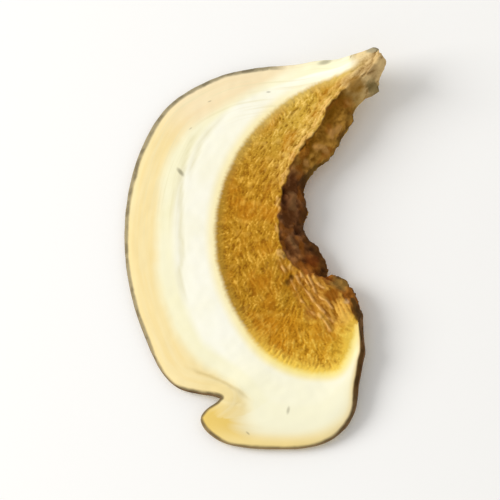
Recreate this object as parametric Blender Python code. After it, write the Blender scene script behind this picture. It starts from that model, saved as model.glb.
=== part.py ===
"""A dried slice of a bay bolete's cap, lying on its cut face. Metres, +Z up.

The slice is a crescent. Brown skin runs round its outer rim, pale flesh comes next, and the
golden tube layer follows, which has curled up into a crest. Past the crest the pore face, once
the underside of the cap, drops to a ragged lip. All of it grew as one piece, so it is one solid.

Five guide lines run along the slice, from its torn tip to the blunt end of its lower arm: rim,
mid flesh, tube edge, crest and lip. Ribs that cross them give the shape.
"""

import math

import bmesh
import bpy
from mathutils import Vector, noise

MM = 0.001

# Each guide is a row of (x, y) in millimetres seen from above, from the tip to the lower arm.
RIM = (
    (16.7, 27.6), (14.6, 27.5), (12.1, 27.3), (9.2, 27.6), (6.0, 27.3), (0.5, 27.1), (-5.5, 25.7),
    (-12.0, 21.6), (-15.7, 15.0), (-17.5, 7.0), (-17.6, -1.2), (-16.0, -8.9), (-13.3, -15.7),
    (-11.5, -19.0), (-9.3, -21.1), (-6.8, -21.9), (-4.6, -22.3), (-3.0, -22.9), (-3.5, -23.5),
    (-5.0, -24.5), (-5.9, -25.9), (-4.9, -27.7), (-2.6, -29.2), (0.8, -29.9), (5.0, -30.1),
    (9.0, -29.9), (12.4, -28.9), (14.8, -26.9), (16.0, -24.4), (16.3, -21.4), (16.8, -18.4),
    (17.2, -16.2),
)
MID_FLESH = (
    (17.0, 27.4), (14.4, 26.6), (11.5, 25.9), (8.0, 25.5), (3.5, 24.4), (-1.5, 21.6),
    (-6.0, 18.0), (-9.5, 12.5), (-11.2, 5.5), (-11.2, -2.0), (-9.6, -9.0), (-7.2, -14.5),
    (-4.6, -18.0), (-2.4, -20.4), (-1.3, -22.4), (-1.8, -24.2), (-2.2, -25.8), (-0.3, -27.0),
    (3.5, -26.4), (8.5, -25.6), (12.2, -24.2), (14.8, -21.6), (15.8, -18.4), (17.0, -15.8),
)
TUBE_EDGE = (
    (17.3, 27.2), (14.2, 25.4), (11.0, 24.4), (7.9, 23.5), (4.2, 21.3), (0.4, 17.6), (-2.3, 13.4),
    (-4.1, 8.5), (-4.8, 3.2), (-4.4, -2.2), (-2.8, -7.6), (-0.1, -12.6), (3.3, -16.6),
    (7.4, -18.8), (11.4, -19.3), (14.2, -18.2), (16.7, -15.3),
)
CREST = (
    (17.8, 26.7), (16.6, 24.5), (14.2, 22.1), (11.6, 19.5), (9.8, 15.8), (7.2, 12.4), (5.4, 7.9),
    (4.7, 3.2), (5.0, -1.3), (7.3, -4.6), (10.9, -6.3), (13.8, -8.5), (16.2, -12.2),
)
LIP = (
    (18.5, 26.2), (18.0, 24.9), (17.5, 23.6), (18.0, 21.7), (15.9, 21.0), (14.9, 19.2),
    (14.6, 17.4), (13.1, 15.1), (11.8, 12.7), (9.5, 10.8), (8.4, 8.8), (8.2, 6.7), (9.0, 4.6),
    (8.3, 2.7), (8.7, 1.3), (10.5, -0.6), (11.4, -1.9), (11.9, -3.5), (11.9, -5.3), (13.2, -4.9),
    (14.5, -5.6), (15.4, -7.2), (16.2, -8.9), (16.7, -10.6),
)

# A rib says which points of the five guides face each other, counted from the tip, and then how
# high the slice stands there in millimetres: under the rim, over the rim, under the tube edge,
# over the tube edge, at the crest and at the lip.
RIBS = (
    (0.0, 0.0, 0.0, 0.0, 0.0, 5.8, 7.3, 5.8, 7.6, 8.2, 5.8),
    (3.0, 2.4, 2.3, 2.9, 5.2, 1.6, 3.1, 1.7, 4.0, 7.2, 3.4),
    (5.3, 4.5, 4.3, 4.4, 7.8, 0.0, 1.6, 0.0, 2.4, 6.7, 2.5),
    (7.0, 6.1, 6.0, 5.9, 10.4, 0.0, 1.4, 0.0, 2.1, 6.2, 2.2),
    (8.1, 7.0, 6.9, 6.5, 11.7, 0.0, 1.4, 0.0, 2.0, 6.3, 2.1),
    (9.3, 8.1, 8.0, 7.1, 13.0, 0.0, 1.4, 0.0, 2.0, 6.3, 2.1),
    (11.0, 9.9, 10.0, 7.9, 14.8, 0.0, 1.4, 0.0, 2.1, 5.8, 2.0),
    (13.0, 11.6, 11.2, 8.7, 16.4, 0.0, 1.5, 0.0, 2.2, 5.2, 1.9),
    (15.0, 12.7, 11.8, 9.5, 18.0, 0.3, 1.8, 0.0, 2.2, 4.9, 2.0),
    (17.0, 14.0, 12.3, 10.1, 19.0, 0.7, 2.3, 0.0, 2.3, 4.7, 2.2),
    (20.0, 15.6, 12.8, 10.6, 19.8, 0.4, 1.9, 0.0, 2.3, 4.6, 2.3),
    (23.0, 17.6, 13.3, 11.0, 20.6, 0.1, 1.6, 0.0, 2.3, 4.4, 2.4),
    (25.0, 19.1, 14.0, 11.3, 21.2, 0.0, 1.6, 0.2, 2.4, 4.2, 2.3),
    (28.0, 21.0, 15.0, 11.7, 22.2, 0.9, 2.4, 0.9, 2.8, 4.0, 2.2),
    (31.0, 23.0, 16.0, 12.0, 23.0, 1.8, 3.3, 1.7, 3.5, 4.0, 2.2),
)

STATIONS_PER_RIB = 8
FLESH_STEPS = 4  # on each side of the mid flesh line
TUBE_STEPS = 11
PORE_STEPS = 5
UNDER_TUBE_STEPS = 6
UNDER_FLESH_STEPS = 3  # on each side of the mid flesh line

RIM_ROUND = 0.25  # how far the rim's upper and lower corners stand back from its outermost line
FLESH_DOME = 0.25  # how far the flesh bulges between rim and tube edge
FLESH_WAVE = 0.2  # height of the broad waves that drying left in the flesh
WAVE_SIZE = 6.0
TUBE_SAG = 1.5  # power of the tube layer's rise: above 1, it starts flat and steepens
LUMP_HEIGHT = 0.45  # of the tube layer's lumps
LUMP_SIZE = 2.6
PORE_BULGE = 0.35  # how far the pore face swells out from a straight drop
PIT_DEPTH = 0.7  # of the pits and knobs on the pore face and the lip
PIT_SIZE = 1.5
UNDER_RISE = 2.2  # power of the underside's rise to the lip


def smooth_curve(points, place):
    """The point at a place along a smooth curve, where whole numbers are its own points."""
    start = min(int(place), len(points) - 2)
    part = place - start
    before = Vector(points[max(start - 1, 0)])
    here = Vector(points[start])
    there = Vector(points[start + 1])
    after = Vector(points[min(start + 2, len(points) - 1)])
    leave = (there - before) / 2
    arrive = (after - here) / 2
    square, cube = part * part, part ** 3
    return (
        here * (2 * cube - 3 * square + 1)
        + leave * (cube - 2 * square + part)
        + there * (3 * square - 2 * cube)
        + arrive * (cube - square)
    )


def rib_value(column, place):
    """A column of RIBS at a place between ribs. It never swings past the ribs on either side."""
    values = [rib[column] for rib in RIBS]
    steps = [after - before for before, after in zip(values, values[1:])]
    slopes = [steps[0]]
    for left, right in zip(steps, steps[1:]):
        slopes.append(2 * left * right / (left + right) if left * right > 0 else 0.0)
    slopes.append(steps[-1])
    start = min(int(place), len(values) - 2)
    s = place - start
    return (
        values[start] * (1 + 2 * s) * (1 - s) ** 2
        + slopes[start] * s * (1 - s) ** 2
        + values[start + 1] * s * s * (3 - 2 * s)
        - slopes[start + 1] * s * s * (1 - s)
    )


def roughness(x, y, size, layer):
    """Smooth noise between about -1 and 1. Each layer of the slice has its own."""
    return noise.noise(Vector((x / size, y / size, 10.0 * layer)))


def ring_at(place):
    """The closed cross-section of the slice at a place between ribs, as points in millimetres."""
    guides = (RIM, MID_FLESH, TUBE_EDGE, CREST, LIP)
    rim, flesh, edge, crest, lip = (smooth_curve(g, rib_value(k, place)) for k, g in enumerate(guides))
    rim_low, rim_top, edge_low, edge_top, crest_top, lip_low = (rib_value(k, place) for k in range(5, 11))
    corner = rim + (flesh - rim).normalized() * min(RIM_ROUND, (flesh - rim).length / 3)
    ring = [(*rim, (rim_low + rim_top) / 2)]

    for i in range(2 * FLESH_STEPS):
        s = i / (2 * FLESH_STEPS)
        x, y = corner.lerp(flesh, 2 * s) if s < 0.5 else flesh.lerp(edge, 2 * s - 1)
        bulge = math.sin(math.pi * s)
        dome = FLESH_DOME + FLESH_WAVE * roughness(x, y, WAVE_SIZE, 1)
        ring.append((x, y, rim_top + (edge_top - rim_top) * s + dome * bulge))

    for i in range(TUBE_STEPS):
        s = i / TUBE_STEPS
        x, y = edge.lerp(crest, s)
        lump = min(2 * s, 1) * LUMP_HEIGHT * roughness(x, y, LUMP_SIZE, 2)
        ring.append((x, y, edge_top + (crest_top - edge_top) * s ** TUBE_SAG + lump))

    outward = (lip - crest).normalized()
    for i in range(PORE_STEPS):
        s = i / PORE_STEPS
        bulge = math.sin(math.pi * s)
        x, y = crest.lerp(lip, s)
        lump = (1 - s) * LUMP_HEIGHT * roughness(x, y, LUMP_SIZE, 2)
        pit = bulge * PIT_DEPTH * roughness(x, y, PIT_SIZE, 3)
        x, y = Vector((x, y)) + outward * (PORE_BULGE * bulge + 0.6 * pit)
        ring.append((x, y, crest_top + (lip_low - crest_top) * s + PORE_BULGE * bulge + pit + lump))

    lip_low += 0.5 * PIT_DEPTH * roughness(*lip, PIT_SIZE, 4)
    for i in range(UNDER_TUBE_STEPS):
        s = 1 - i / UNDER_TUBE_STEPS
        x, y = edge.lerp(lip, s)
        hollow = s * (1 - s) * PIT_DEPTH * (1 + roughness(x, y, PIT_SIZE, 5))
        ring.append((x, y, edge_low + (lip_low - edge_low) * s ** UNDER_RISE + hollow))

    for i in range(2 * UNDER_FLESH_STEPS + 1):
        s = i / (2 * UNDER_FLESH_STEPS)
        x, y = edge.lerp(flesh, 2 * s) if s < 0.5 else flesh.lerp(corner, 2 * s - 1)
        ring.append((x, y, edge_low + (rim_low - edge_low) * s))
    return ring


def centred(rings):
    """The same rings with the box's middle over the origin and its lowest point at height 0."""
    points = [point for ring in rings for point in ring]
    middle = [(min(axis) + max(axis)) / 2 for axis in zip(*points)]
    low = min(point[2] for point in points)
    return [[(x - middle[0], y - middle[1], z - low) for x, y, z in ring] for ring in rings]


def dried_flesh():
    """The slice's material: pale cream, dry and matt."""
    material = bpy.data.materials.new("dried_flesh")
    material.use_nodes = True
    shader = material.node_tree.nodes["Principled BSDF"]
    shader.inputs["Base Color"].default_value = (0.84, 0.66, 0.38, 1)
    shader.inputs["Roughness"].default_value = 0.8
    shader.inputs["Metallic"].default_value = 0.0
    return material


def build_slice():
    """One closed solid, skinned over the cross-sections, with a flat cap on each end."""
    stations = (len(RIBS) - 1) * STATIONS_PER_RIB + 1
    rings = centred([ring_at(i / STATIONS_PER_RIB) for i in range(stations)])
    mesh = bmesh.new()
    loops = [[mesh.verts.new(Vector(point) * MM) for point in ring] for ring in rings]
    count = len(loops[0])
    for near, far in zip(loops, loops[1:]):
        for i in range(count):
            j = (i + 1) % count
            mesh.faces.new((near[i], near[j], far[j], far[i]))
    mesh.faces.new(loops[0])
    mesh.faces.new(reversed(loops[-1]))
    bmesh.ops.triangulate(mesh, faces=[face for face in mesh.faces if len(face.verts) > 4])
    bmesh.ops.recalc_face_normals(mesh, faces=mesh.faces)
    data = bpy.data.meshes.new("cap_slice")
    mesh.to_mesh(data)
    mesh.free()
    data.shade_smooth()
    data.materials.append(dried_flesh())
    cap_slice = bpy.data.objects.new("cap_slice", data)
    bpy.context.scene.collection.objects.link(cap_slice)
    return cap_slice


def main():
    for old in list(bpy.data.objects):
        bpy.data.objects.remove(old)
    build_slice()


main()
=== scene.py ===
# %% [markdown]
# # A dried slice of bay bolete
# The object is one thin slice of a mushroom's cap, dried until it curled. Its plain solid is loaded
# first and never changed: it says how big the slice is and where it lies. Everything after that is
# about looks, and a detailed copy takes the place of the plain solid.

# %% Load the plain solid
import functools
import math

import bpy
import numpy as np
from mathutils import Matrix, Vector, noise


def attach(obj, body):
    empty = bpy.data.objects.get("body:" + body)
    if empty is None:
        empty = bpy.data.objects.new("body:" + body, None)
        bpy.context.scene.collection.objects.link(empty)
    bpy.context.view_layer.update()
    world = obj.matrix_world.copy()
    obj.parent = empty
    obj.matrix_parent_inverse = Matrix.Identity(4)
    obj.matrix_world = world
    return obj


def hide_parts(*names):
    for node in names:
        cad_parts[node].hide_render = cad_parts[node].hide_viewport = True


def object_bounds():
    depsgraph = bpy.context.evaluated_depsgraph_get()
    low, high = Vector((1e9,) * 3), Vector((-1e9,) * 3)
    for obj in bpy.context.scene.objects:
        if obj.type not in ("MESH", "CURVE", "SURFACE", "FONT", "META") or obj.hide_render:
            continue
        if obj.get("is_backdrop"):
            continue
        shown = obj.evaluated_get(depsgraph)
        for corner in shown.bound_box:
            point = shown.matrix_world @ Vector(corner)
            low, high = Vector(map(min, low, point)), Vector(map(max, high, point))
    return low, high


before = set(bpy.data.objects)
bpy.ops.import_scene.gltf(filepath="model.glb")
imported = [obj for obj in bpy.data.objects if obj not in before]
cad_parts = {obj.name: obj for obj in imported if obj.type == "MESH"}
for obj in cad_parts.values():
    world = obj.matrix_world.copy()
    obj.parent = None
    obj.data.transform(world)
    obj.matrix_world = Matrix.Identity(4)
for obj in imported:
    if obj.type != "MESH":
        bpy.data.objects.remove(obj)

MM = 0.001
solid_low, solid_high = (np.array(corner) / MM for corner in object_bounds())
bpy.ops.object.select_all(action="DESELECT")
print("plain solid, in mm:", solid_low.round(2), solid_high.round(2))

# %% [markdown]
# ## Camera
# The slice is seen steeply from above and a little from the right. A long lens brings it close and
# keeps the far end from shrinking. The picture's right has to be the table's +X, so the camera is
# turned by its own three directions and not by angles.

# %% Camera
EYE = Vector((0.0684, -0.2405, 0.6657))
LOOK_AT = Vector((0.0, 0.0004, 0.002))
SHOWN_WIDTH = 0.071  # metres of the table, at the slice
FILM_WIDTH = 36.0  # mm
NEAREST_SEEN = 0.01

ahead = (LOOK_AT - EYE).normalized()
rightward = (Vector((1, 0, 0)) - ahead * ahead.x).normalized()
upward = rightward.cross(ahead)
bpy.ops.object.camera_add(location=EYE)
camera = bpy.context.object
camera.name = "camera"
camera.rotation_mode = "QUATERNION"
camera.rotation_quaternion = Matrix((rightward, upward, -ahead)).transposed().to_quaternion()
camera.data.sensor_width = FILM_WIDTH
camera.data.lens = FILM_WIDTH * (LOOK_AT - EYE).length / SHOWN_WIDTH
camera.data.clip_start = NEAREST_SEEN
bpy.context.scene.camera = camera
print("lens, in mm:", round(camera.data.lens))

# %% [markdown]
# ## Table
# The slice lies on a plain white table. One large square is enough for it, because nothing else of the
# room is seen. The paint is matt, so that it takes soft shadows and doesn't shine.

# %% Table
TABLE_SIDE = 1.6
TABLE_WHITE = (0.985, 0.985, 0.98, 1)

bpy.ops.mesh.primitive_plane_add(size=TABLE_SIDE, location=(0, 0, 0))
floor = bpy.context.object
floor.name = "floor"
white = bpy.data.materials.new("white_table")
white.use_nodes = True
table_paint = white.node_tree.nodes["Principled BSDF"]
table_paint.inputs["Base Color"].default_value = TABLE_WHITE
table_paint.inputs["Roughness"].default_value = 0.9
table_paint.inputs["Specular IOR Level"].default_value = 0.1
floor.data.materials.append(white)
floor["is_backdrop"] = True
print("table is", TABLE_SIDE, "m wide")

# %% [markdown]
# ## Light
# Most of the light comes softly from the whole bright room. One large lamp at the upper left adds the
# shadow that falls to the right of the curl. A small lamp would give that shadow a hard edge, so this
# one is a disk as wide as a window pane.

# %% Light
ROOM_COLOUR = (1.0, 0.985, 0.955, 1)
ROOM_STRENGTH = 0.60
LAMP_AT = Vector((-0.45, 0.05, 0.33))
LAMP_WIDTH = 0.40
LAMP_POWER = 1.15
LAMP_COLOUR = (1.0, 0.99, 0.97)

world = bpy.data.worlds.new("room")
world.use_nodes = True
world.node_tree.nodes["Background"].inputs["Color"].default_value = ROOM_COLOUR
world.node_tree.nodes["Background"].inputs["Strength"].default_value = ROOM_STRENGTH
bpy.context.scene.world = world

bpy.ops.object.light_add(type="AREA", location=LAMP_AT)
lamp = bpy.context.object
lamp.name = "window"
lamp.rotation_mode = "QUATERNION"
lamp.rotation_quaternion = LAMP_AT.to_track_quat("Z", "Y")
lamp.data.shape = "DISK"
lamp.data.size = LAMP_WIDTH
lamp.data.energy = LAMP_POWER
lamp.data.color = LAMP_COLOUR
bpy.context.scene.view_settings.view_transform = "Standard"
print("lamp stands", round(LAMP_AT.length, 2), "m away")

# %% [markdown]
# ## Lines that the slice follows
# A slice like this is easiest to describe by lines that run along it, from the torn tip to the blunt
# lower arm. They are given in millimetres, seen from above: the rim with its skin, the edge where the
# flesh ends and the tubes begin, the inner edge of the tan band, the crest of the curl, and the crease
# at the notch. Every colour band and every streak later depends on the distance to one of them.

# %% Guide lines
RIM = (
    (16.7, 27.6), (14.6, 27.5), (12.1, 27.3), (9.2, 27.6), (6.0, 27.3), (0.5, 27.1), (-5.5, 25.7),
    (-12.0, 21.6), (-15.7, 15.0), (-17.5, 7.0), (-17.6, -1.2), (-16.0, -8.9), (-13.3, -15.7),
    (-11.5, -19.0), (-9.3, -21.1), (-6.8, -21.9), (-4.6, -22.3), (-3.0, -22.9), (-3.5, -23.5),
    (-5.0, -24.5), (-5.9, -25.9), (-4.9, -27.7), (-2.6, -29.2), (0.8, -29.9), (5.0, -30.1),
    (9.0, -29.9), (12.4, -28.9), (14.8, -26.9), (16.0, -24.4), (16.3, -21.4), (16.8, -18.4),
    (17.2, -16.2), (17.0, -13.4), (16.7, -10.6),
)
TUBE_EDGE = (
    (17.3, 27.2), (14.2, 25.4), (11.0, 24.4), (7.9, 23.5), (4.2, 21.3), (0.4, 17.6), (-2.3, 13.4),
    (-4.1, 8.5), (-4.8, 3.2), (-4.4, -2.2), (-2.8, -7.6), (-0.1, -12.6), (3.3, -16.6), (7.4, -18.8),
    (11.2, -19.4), (13.4, -19.0), (14.6, -17.2), (15.3, -15.0), (15.9, -13.2),
)
TAN_EDGE = (
    (9.0, 29.4), (4.2, 27.6), (1.6, 25.9), (-2.2, 23.8), (-6.5, 21.0), (-9.5, 18.8), (-12.0, 15.2),
    (-13.1, 11.1), (-13.4, 6.5), (-13.4, 1.5), (-13.0, -3.6), (-12.0, -8.1), (-10.3, -11.8),
    (-8.2, -14.8), (-5.8, -17.1), (-2.6, -19.1), (-0.1, -21.4), (0.6, -23.4), (0.6, -25.2),
    (3.2, -26.9), (8.9, -27.1), (12.6, -25.9), (15.5, -24.5),
)
CREST = (
    (17.8, 26.7), (16.6, 24.5), (14.2, 22.1), (11.6, 19.5), (9.8, 15.8), (7.2, 12.4), (5.4, 7.9),
    (4.7, 3.2), (5.0, -1.3), (7.3, -4.6), (10.9, -6.3), (13.8, -8.5), (16.2, -12.2),
)
CREASE = ((-8.6, -17.0), (-3.6, -19.1), (-0.7, -20.9), (1.3, -22.6))
print("points on rim, tube edge and crest:", len(RIM), len(TUBE_EDGE), len(CREST))

# %% [markdown]
# ## Smooth lines
# Straight pieces between the given points would show as corners in every colour band. So a smooth
# curve is drawn through them, which passes through each point and needs no handles. The rim, the tube
# edge and the crest are then shifted together so that the rim fits the plain solid. The tan edge, the
# crease and all later lines are given in the solid's own place already.

# %% Smooth lines
def smooth_line(points, shift=(0.0, 0.0), steps=20):
    """Closely spaced points of a smooth curve through the given ones."""
    p = np.array(points, float) + shift
    p = np.vstack([2 * p[0] - p[1], p, 2 * p[-1] - p[-2]])
    s = np.linspace(0, 1, steps, endpoint=False)[:, None]
    pieces = []
    for before, here, there, after in zip(p, p[1:], p[2:], p[3:]):
        bow = 2 * before - 5 * here + 4 * there - after
        twist = 3 * here - before - 3 * there + after
        pieces.append(here + (there - before) * s / 2 + bow * s ** 2 / 2 + twist * s ** 3 / 2)
    return np.vstack(pieces + [p[-2:-1]])


rim_as_given = smooth_line(RIM)
SHIFT = np.array([solid_low[0] - rim_as_given[:, 0].min(), solid_high[1] - rim_as_given[:, 1].max()])
rim_line, edge_line, crest_line = (smooth_line(given, SHIFT) for given in (RIM, TUBE_EDGE, CREST))
tan_line, crease_line = (smooth_line(given) for given in (TAN_EDGE, CREASE))
print("rim, tube edge and crest are shifted by", SHIFT.round(2), "mm")

# %% [markdown]
# ## Distance from a line
# One function measures both things that matter: how far a point lies to the left of a line, and how
# far along the line that is. Walking from the tip, left is always towards the hollow of the crescent.
# Past the end of a line, the plain distance to that end is used, so that no band runs on for ever.

# %% Distance from a line
AT_ONCE = 4000  # points, to save memory
PAST_THE_END = 0.6  # mm


def closest_piece(xy, middle):
    """Which piece of a line lies closest to each point."""
    parts = np.array_split(xy, len(xy) // AT_ONCE + 1)
    return np.concatenate([((part[:, None] - middle[None]) ** 2).sum(2).argmin(1) for part in parts])


def beside(line, xy):
    """Distance to the left of a line and distance along it, for every point of xy."""
    step = np.diff(line, axis=0)
    length = np.linalg.norm(step, axis=1)
    start = np.concatenate([[0], np.cumsum(length)])
    middle = (line[1:] + line[:-1]) / 2
    nearest = closest_piece(xy, middle)
    offset = xy - middle[nearest]
    way = (step / length[:, None])[nearest]
    left = way[:, 0] * offset[:, 1] - way[:, 1] * offset[:, 0]
    ahead_by = (offset * way).sum(1)
    gap = np.linalg.norm(offset, axis=1)
    left = np.where(np.abs(ahead_by) > PAST_THE_END, np.where(left < 0, -gap, gap), left)
    return left, start[nearest] + ahead_by + length[nearest] / 2


def fade(value, start, end):
    """0 before start, 1 after end, and smooth between them."""
    s = np.clip((value - start) / (end - start), 0, 1)
    return s * s * (3 - 2 * s)


print("rim is", beside(rim_line, rim_line[-1:])[1].round(1)[0], "mm long")

# %% [markdown]
# ## Detailed copy
# The copy starts as the plain solid itself, so it can't drift from it. Its triangles are joined back
# into the four-sided faces that run along and across the slice, because those smooth evenly, and then
# they are smoothed once.

# %% Copy and smooth
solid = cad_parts["cap_slice"]
solid.select_set(True)
bpy.context.view_layer.objects.active = solid
bpy.ops.object.duplicate()
piece = bpy.context.object
piece.name = "dried_slice"
bpy.ops.object.mode_set(mode="EDIT")
bpy.ops.mesh.select_all(action="SELECT")
bpy.ops.mesh.remove_doubles(threshold=1e-6)
bpy.ops.mesh.tris_convert_to_quads(face_threshold=math.pi, shape_threshold=math.pi)
bpy.ops.object.mode_set(mode="OBJECT")
bpy.ops.object.modifier_add(type="SUBSURF")
piece.modifiers[-1].levels = 1
piece.modifiers[-1].render_levels = 1
bpy.ops.object.modifier_apply(modifier=piece.modifiers[-1].name)
print(piece.name, "has", len(piece.data.polygons), "faces")

# %% [markdown]
# ## How fine the faces must be
# The cut tubes are full of tiny strokes, so they need faces of little more than a tenth of a
# millimetre. The pore face and the crease need a little less, the rim still less, and the flesh is
# nearly smooth. The underside, which is hardly seen, stays as it is. Fine faces everywhere would only
# make the piece heavy.

# %% How fine the faces must be
LONGEST_IN_TUBES = 0.14  # mm
LONGEST_ON_PORE_FACE = 0.2
LONGEST_AT_CREASE = 0.2
LONGEST_AT_RIM = 0.34
LONGEST_ON_FLESH = 0.6
LONGEST_UNDERNEATH = 9.0
UNDERSIDE_BELOW = -0.15  # upward tilt
WALL_BELOW = 0.1
rough_guides = [line[::4] for line in (edge_line, rim_line, crest_line, crease_line)]


def longest(point, tilt):
    """How long an edge may be, in millimetres, for points with an upward tilt."""
    into_tubes, into_rim, past, from_crease = (beside(line, point)[0] for line in rough_guides)
    length = np.where(into_rim < 0.9, LONGEST_AT_RIM, LONGEST_ON_FLESH)
    length = np.where(np.abs(from_crease) < 0.7, LONGEST_AT_CREASE, length)
    in_rough = np.where(past > 0.4, LONGEST_ON_PORE_FACE, LONGEST_IN_TUBES)
    length = np.where(into_tubes > -0.3, in_rough, length)
    length = np.where(tilt < WALL_BELOW, length.clip(LONGEST_AT_RIM), length)
    return np.where(tilt < UNDERSIDE_BELOW, LONGEST_UNDERNEATH, length)


print("longest edges in the tubes and on the flesh, in mm:", LONGEST_IN_TUBES, LONGEST_ON_FLESH)

# %% [markdown]
# ## Finer faces
# Edges that are too long for their place are halved, and that is done three times. The long edges are
# chosen in code, by where their middle is and how far it faces up.

# %% Finer faces
TURNS = 3


def of_all(items, what, width=3):
    """One property of every vertex, edge or face as an array."""
    got = np.empty(len(items) * width, np.float32)
    items.foreach_get(what, got)
    return got.reshape(-1, width).astype(float)


def halve_long_edges():
    """Cuts every edge in two that is longer than wanted. Returns how many there were."""
    corner = of_all(piece.data.vertices, "co") / MM
    tilt = of_all(piece.data.vertices, "normal")[:, 2]
    ends = of_all(piece.data.edges, "vertices", 2).astype(int)
    length = np.linalg.norm(corner[ends[:, 0]] - corner[ends[:, 1]], axis=1)
    middle = (corner[ends[:, 0]] + corner[ends[:, 1]])[:, :2] / 2
    long = length > LONGEST_IN_TUBES
    long[long] = length[long] > longest(middle[long], tilt[ends].mean(1)[long])
    bpy.ops.object.mode_set(mode="EDIT")
    bpy.ops.mesh.select_mode(type="EDGE")
    bpy.ops.mesh.select_all(action="DESELECT")
    bpy.ops.object.mode_set(mode="OBJECT")
    piece.data.edges.foreach_set("select", long)
    bpy.ops.object.mode_set(mode="EDIT")
    bpy.ops.mesh.subdivide(number_cuts=1, smoothness=0)
    bpy.ops.object.mode_set(mode="OBJECT")
    return int(long.sum())


for turn in range(TURNS):
    print("long edges:", halve_long_edges(), " faces:", len(piece.data.polygons))
piece.data.calc_loop_triangles()
print("triangles:", len(piece.data.loop_triangles))

# %% [markdown]
# ## Where every point is
# Each point gets its distances from the guide lines, in millimetres. The rim distance grows inwards,
# the depth grows from the flesh into the tubes, and the pore face begins past the crest.
#
# Places along a line are counted from the tip. On the rim, the back of the slice is at 40 to 60, the
# notch at 83, the bottom of the lobe at 100 and the right side of the lower arm at 113 to 127. On the
# tube edge, the middle is at 35 and the lowest point at 66. On the crest, the hollow is deepest at 28.

# %% Where every point is
place = of_all(piece.data.vertices, "co") / MM
normal = of_all(piece.data.vertices, "normal")
xy = place[:, :2]
tilt = normal[:, 2]
level = np.abs(tilt)  # 1 where the surface lies level, 0 where it stands
depth, along = beside(edge_line, xy)
rim, round_rim = beside(rim_line, xy)
past_crest, along_crest = beside(crest_line, xy)
past_tan = beside(tan_line, xy)[0]
top = fade(tilt, -0.35, 0.05)
tubes = fade(depth, -0.1, 0.5)
ragged = 0.45 * np.array([noise.noise((a / 1.1, 0.0, 4.0)) for a in along_crest])
pore = fade(past_crest + ragged, -0.15, 0.15) * top * fade(along_crest, 4, 8)
lower_arm = fade(along, 46, 57)
print(len(place), "points, tube layer up to", round(float(depth[top > 0.5].max()), 1), "mm deep")

# %% [markdown]
# ## Random roughness
# Nothing on a dried mushroom is even. Two kinds of random values shape it: soft waves, and cells with
# gaps between them. Both depend only on the place of a point, so they are the same on every run.

# %% Random roughness
def waves(points, size, layer):
    """Smooth random values between about -1 and 1."""
    shift = Vector((3.7 * layer, 7.3 * layer, 1.9 * layer))
    return np.array([noise.noise(Vector(p) + shift) for p in points / size])


def cells(points, size, layer):
    """Raised cells with gaps between them, from 0 in a gap to about 1 on a high cell."""
    shift = Vector((5.1 * layer, 2.3 * layer, 8.9 * layer))
    height = np.empty(len(points))
    for i, p in enumerate(points / size):
        far, cell = noise.voronoi(Vector(p) + shift)
        height[i] = min((far[1] - far[0]) * 2.4, 1) * (0.5 + 0.5 * noise.cell(cell[0] * 9))
    return height


def flat(across, down):
    """Points on a plane, from two rows of distances."""
    return np.stack([across, down, across * 0], axis=1)


bend = waves(place, 2.5, 1)
crumbs = cells(place, 0.42, 5)
coarse = waves(place, 1.1, 3)
print("crumbs from", crumbs.min().round(2), "to", crumbs.max().round(2))

# %% [markdown]
# ## Combed strokes
# Cut tubes look like fur that was combed. Stretching the waves along one direction turns them into
# strokes, but the direction changes from place to place. So six sets of strokes are made, each with
# its own fixed angle, and every point takes those whose angle is close to its own lean.

# %% Combed strokes
ANGLE_STEP = 30  # degrees
WOBBLE = 0.2


def combed(lean, width, length, layer):
    """Raised strokes that follow the lean angle of every point. The values lie around 0."""
    total = np.zeros(len(xy))
    power = np.zeros(len(xy))
    for angle in np.radians(range(0, 180, ANGLE_STEP)):
        share = np.cos(2 * (lean - angle)).clip(0) ** 2
        down = xy[:, 0] * math.cos(angle) + xy[:, 1] * math.sin(angle)
        across = xy[:, 1] * math.cos(angle) - xy[:, 0] * math.sin(angle)
        strokes = waves(flat((across + WOBBLE * bend) / width, down / length), 1.0, layer + angle)
        total += share * strokes
        power += share ** 2
    return total / np.sqrt(power)


def combed_one_way(degrees, width, length, layer):
    """Raised strokes that all lean the same way."""
    return combed(np.full(len(xy), math.radians(degrees)), width, length, layer)


print("strokes are made at", 180 // ANGLE_STEP, "angles")

# %% [markdown]
# ## How the tubes lean
# Next to the flesh the tubes stand straight out from it. Near the tip they all lean one way, in the
# middle they cross in small patches, and in the lower arm they spread like a fan. These four angles
# are blended, and an angle and its opposite count as the same.

# %% How the tubes lean
FAN_CENTRE = (7.6, -6.5)
TIP_LEAN = math.radians(66)
MIDDLE_LEAN = math.radians(90)
CROSSING = 0.65 * 0.75  # radians to each side


def blend_angles(share, first, second):
    """From one lean angle to another, where an angle and its opposite are the same."""
    x = (1 - share) * np.cos(2 * first) + share * np.cos(2 * second)
    y = (1 - share) * np.sin(2 * first) + share * np.sin(2 * second)
    return np.arctan2(y, x) / 2


edge_step = np.diff(edge_line, axis=0)
edge_run = np.concatenate([[0], np.cumsum(np.linalg.norm(edge_step, axis=1))])
edge_turn = np.unwrap(np.arctan2(edge_step[:, 1], edge_step[:, 0])) + math.pi / 2
straight_out = np.interp(along, (edge_run[1:] + edge_run[:-1]) / 2, edge_turn)
fan = np.arctan2(xy[:, 1] - FAN_CENTRE[1], xy[:, 0] - FAN_CENTRE[0])
upper_arm = 1 - fade(along + 3 * bend, 24, 38)
patch = waves(place, 1.5, 17)
crossing = CROSSING * np.sign(patch) * fade(np.abs(patch), 0, 0.12)
inside = upper_arm * TIP_LEAN + (1 - upper_arm) * (MIDDLE_LEAN + crossing)
lean = blend_angles(lower_arm, inside, fan)
lean = blend_angles(fade(depth + bend, 2.4, 0.6), lean, straight_out)
print("lean angles, in degrees:", np.degrees([lean.min(), lean.max()]).round())

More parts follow.
